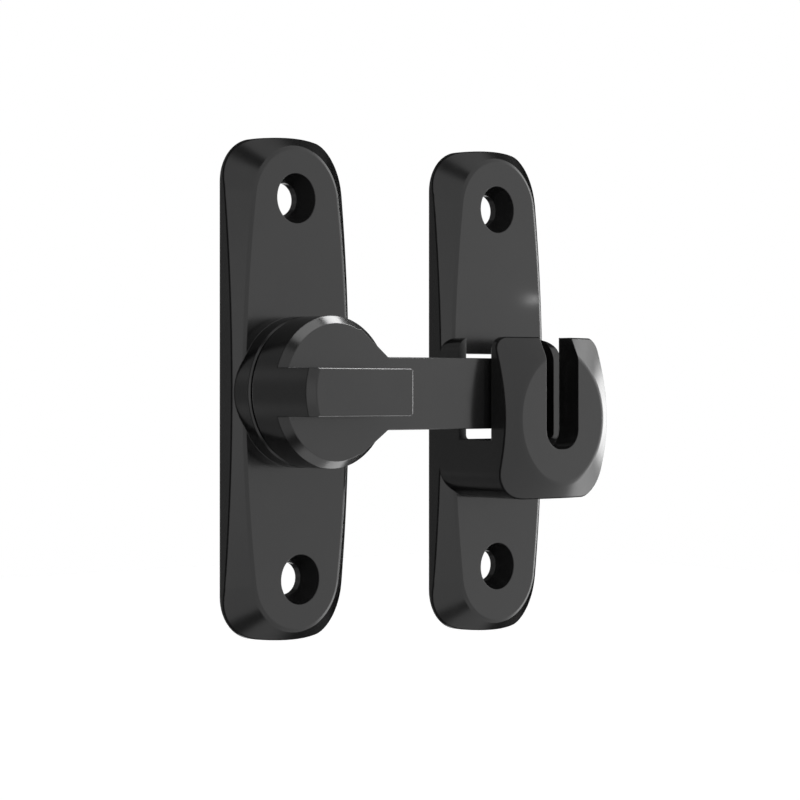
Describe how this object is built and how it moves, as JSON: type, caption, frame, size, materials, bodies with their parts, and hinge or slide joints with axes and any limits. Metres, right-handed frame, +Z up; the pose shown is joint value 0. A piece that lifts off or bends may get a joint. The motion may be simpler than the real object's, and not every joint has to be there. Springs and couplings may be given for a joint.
{
  "type": "door bolt",
  "caption": "Swing-arm door latch: a pivot plate carries a turning arm with a grip bar, whose head drops behind the walls of a slotted hook keeper on its own plate.",
  "frame": {"origin": "middle of the pivot plate's back, on the door's face; the hinge axis of the arm is 0.5 mm below it", "axes": "+X from the pivot plate to the keeper, +Y into the door, +Z up"},
  "size_m": [0.07, 0.0215, 0.082],
  "materials": {
    "black_casting": "satin black coating on a casting",
    "black_nylon": "matt",
    "zinc_steel": "zinc plated"
  },
  "bodies": {
    "mount": {"pivot_plate": "black_casting", "keeper": "black_casting", "hub_washer": "black_nylon", "backing_washer": "zinc_steel"},
    "arm": {"latch_arm": "black_casting", "pivot_screw": "zinc_steel", "disc_spring": "zinc_steel"}
  },
  "joints": [
    {"name": "arm_hinge", "type": "hinge", "parent": "mount", "child": "arm", "pos_m": [0, -0.0074, -0.0005], "axis": [0, -1, 0], "range_deg": [-2, 180]}
  ]
}
